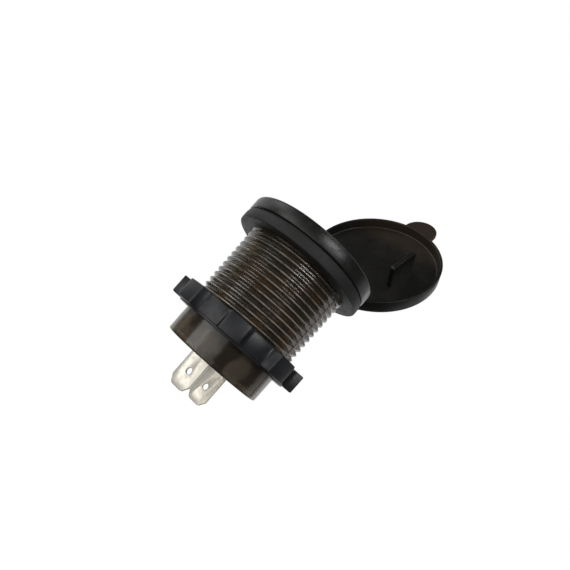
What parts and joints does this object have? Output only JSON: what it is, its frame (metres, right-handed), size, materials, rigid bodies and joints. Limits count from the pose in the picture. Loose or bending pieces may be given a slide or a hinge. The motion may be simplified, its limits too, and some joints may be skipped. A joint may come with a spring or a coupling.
{
  "type": "car usb socket",
  "caption": "Panel-mount USB charging socket for a vehicle dash: threaded barrel with lock nut, two ports under a hinged dust cap and two blade terminals.",
  "frame": {"origin": "centre of the rubber seat's back face, where the barrel's axis crosses the panel", "axes": "+Z along the barrel's axis towards the face and the ports, +Y towards the dust cap's hinge, +X across the flats"},
  "size_m": [0.0384, 0.0641, 0.0899],
  "materials": {
    "smoke_plastic": "smoke-brown transparent moulding",
    "seat_rubber": "matt",
    "cap_elastomer": "satin, slightly translucent",
    "nut_plastic": "satin",
    "face_plastic": "fine grain",
    "tinned_brass": "tinned, satin",
    "shell_steel": "nickel-plated",
    "port_plastic": "satin",
    "gold_contact": "gold flash",
    "board_laminate": "solder mask over glass-fibre board",
    "black_plastic": "satin",
    "can_sleeve": "sleeved can",
    "copper_wire": "enamelled copper",
    "ferrite": "matt",
    "clear_plastic": "clear"
  },
  "bodies": {
    "socket": {"housing": "smoke_plastic", "panel_gasket": "seat_rubber", "cap_collar": "cap_elastomer", "cap_hinge_web": "cap_elastomer", "face_plate": "face_plastic", "usb_shell_a": "shell_steel", "usb_shell_b": "shell_steel", "usb_tongue_a": "port_plastic", "usb_tongue_b": "port_plastic", "usb_contacts_a": "gold_contact", "usb_contacts_b": "gold_contact", "port_board": "board_laminate", "power_board": "board_laminate", "board_pins": "gold_contact", "pin_header": "black_plastic", "blade_positive": "tinned_brass", "blade_negative": "tinned_brass", "input_capacitor": "can_sleeve", "output_capacitor": "can_sleeve", "noise_capacitor": "black_plastic", "inductor_core": "ferrite", "inductor_winding": "copper_wire", "converter_chip": "black_plastic", "charge_chip": "black_plastic", "blocking_diode": "black_plastic", "status_led": "clear_plastic", "light_pipe": "clear_plastic"},
    "cap": {"dust_cap": "cap_elastomer"},
    "nut": {"lock_nut": "nut_plastic"}
  },
  "joints": [
    {"name": "cap_hinge", "type": "hinge", "parent": "socket", "child": "cap", "pos_m": [0, 0.0209, 0.0049], "axis": [-1, 0, 0], "range_deg": [-115, 55], "deforming": ["cap_hinge_web"]},
    {"name": "nut_turn", "type": "hinge", "parent": "socket", "child": "nut", "pos_m": [0, 0, -0.02175], "axis": [0, 0, 1], "continuous": true}
  ]
}
